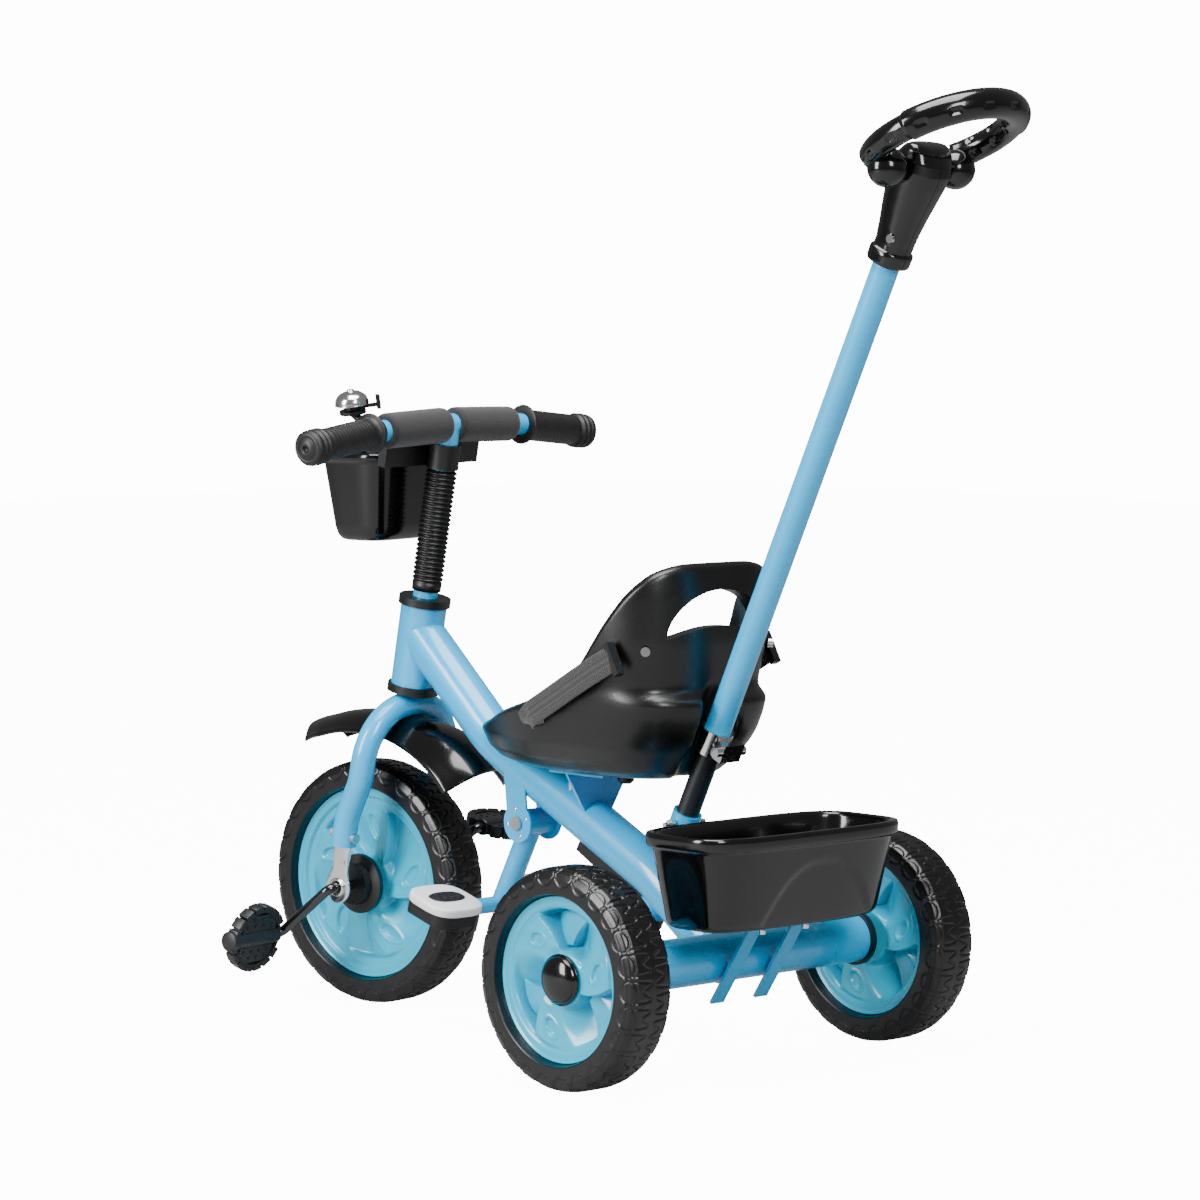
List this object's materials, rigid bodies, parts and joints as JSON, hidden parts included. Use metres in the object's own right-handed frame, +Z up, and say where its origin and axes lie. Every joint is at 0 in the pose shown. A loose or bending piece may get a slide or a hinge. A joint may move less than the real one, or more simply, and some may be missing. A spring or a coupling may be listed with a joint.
{
  "type": "children's tricycle",
  "caption": "Pedal tricycle for a small child with a parent push bar, seat with belts, fold-away footrest, steered and pedalled front wheel and two baskets.",
  "frame": {"origin": "on the ground under the middle of the outer box", "axes": "+X to the rider's left, -Y the way the tricycle rides, +Z up"},
  "size_m": [0.461, 0.9463, 0.8981],
  "materials": {
    "frame_paint": "gloss powder coat",
    "wheel_blue": "gloss",
    "black_gloss": "gloss",
    "black_plastic": "satin",
    "grey_plastic": "satin",
    "white_plastic": "satin",
    "foam_tyre": "matt",
    "foam": "matt",
    "grip_rubber": "satin",
    "webbing": "woven",
    "bright_steel": "polished",
    "zinc_steel": "zinc plated",
    "black_steel": "gloss black paint"
  },
  "bodies": {
    "frame": {"main_tube": "frame_paint", "head_tube": "frame_paint", "axle_tube": "frame_paint", "push_socket": "frame_paint", "lower_headset_cup": "black_plastic", "upper_headset_cup": "black_plastic", "axle_end_rings": "black_plastic", "rear_axle_rod": "zinc_steel", "basket_straps": "frame_paint", "footrest_hinge_plates": "frame_paint", "footrest_pivot_bolt": "zinc_steel", "seat_bracket": "frame_paint", "seat_bolts": "bright_steel", "seat_knob": "black_plastic", "tube_guard": "black_plastic", "socket_plug": "black_plastic", "seat_shell": "black_gloss", "belt_straps": "webbing", "belt_hooks": "black_plastic", "rear_basket": "black_gloss", "trim_screws": "bright_steel", "socket_bolt": "bright_steel"},
    "push_bar": {"push_bar_lower_tube": "frame_paint", "push_bar_upper_tube": "frame_paint", "push_bar_clamp": "bright_steel", "push_bar_screws": "bright_steel", "handle_hub_left": "black_plastic", "handle_hub_right": "black_plastic"},
    "handle": {"handle_ring": "black_plastic", "handle_ring_sleeve": "grip_rubber"},
    "steering": {"fork": "frame_paint", "fork_dropouts": "bright_steel", "fork_bolts": "zinc_steel", "stem_tube": "frame_paint", "stem_cover": "black_plastic", "handlebar": "frame_paint", "foam_sleeves": "foam", "grip_left": "grip_rubber", "grip_right": "grip_rubber", "basket_bracket": "black_plastic", "front_basket": "black_gloss", "front_fender": "black_gloss", "bell_base": "black_plastic", "bell_dome": "bright_steel"},
    "bell_trigger": {"bell_lever": "black_plastic"},
    "front_wheel": {"front_tyre": "foam_tyre", "front_rim": "wheel_blue", "front_hub_flanges": "black_plastic", "crank_rod": "black_steel"},
    "left_pedal": {"pedal_left": "grey_plastic"},
    "right_pedal": {"pedal_right": "grey_plastic"},
    "left_rear_wheel": {"rear_tyre_left": "foam_tyre", "rear_rim_left": "wheel_blue", "rear_cap_left": "black_plastic"},
    "right_rear_wheel": {"rear_tyre_right": "foam_tyre", "rear_rim_right": "wheel_blue", "rear_cap_right": "black_plastic"},
    "footrest": {"footrest_tube": "frame_paint", "footrest_pad_bases": "black_plastic", "footrest_pad_covers": "white_plastic"}
  },
  "joints": [
    {"name": "steering", "type": "hinge", "parent": "frame", "child": "steering", "pos_m": [0, -0.3002, 0.318], "axis": [0, 0.1874, 0.9823], "range_deg": [-26, 14]},
    {"name": "front_wheel_spin", "type": "hinge", "parent": "steering", "child": "front_wheel", "pos_m": [0.00125, -0.34951, 0.12319], "axis": [0.9945, 0.1027, -0.0196], "continuous": true},
    {"name": "left_pedal_spin", "type": "hinge", "parent": "front_wheel", "child": "left_pedal", "pos_m": [0.12565, -0.39547, 0.07201], "axis": [0.9945, 0.1027, -0.0196], "continuous": true},
    {"name": "right_pedal_spin", "type": "hinge", "parent": "front_wheel", "child": "right_pedal", "pos_m": [-0.12314, -0.30355, 0.17436], "axis": [0.9945, 0.1027, -0.0196], "continuous": true},
    {"name": "left_rear_wheel_spin", "type": "hinge", "parent": "frame", "child": "left_rear_wheel", "pos_m": [0, 0.147, 0.102], "axis": [1, 0, 0], "continuous": true},
    {"name": "right_rear_wheel_spin", "type": "hinge", "parent": "frame", "child": "right_rear_wheel", "pos_m": [0, 0.147, 0.102], "axis": [1, 0, 0], "continuous": true},
    {"name": "footrest_fold", "type": "hinge", "parent": "frame", "child": "footrest", "pos_m": [0, -0.124, 0.203], "axis": [1, 0, 0], "range_deg": [0, 80]},
    {"name": "push_bar_slide", "type": "slide", "parent": "frame", "child": "push_bar", "axis": [0, 0.4305, 0.9026], "range_m": [-0.03, 0.03]},
    {"name": "handle_tilt", "type": "hinge", "parent": "push_bar", "child": "handle", "pos_m": [0, 0.3735, 0.82861], "axis": [1, 0, 0], "range_deg": [-25, 35]},
    {"name": "bell_lever_swing", "type": "hinge", "parent": "steering", "child": "bell_trigger", "pos_m": [0.11253, -0.26369, 0.60728], "axis": [0.2082, 0.0595, 0.9763], "range_deg": [0, 25], "stiffness_Nm_per_rad": 0.03}
  ]
}
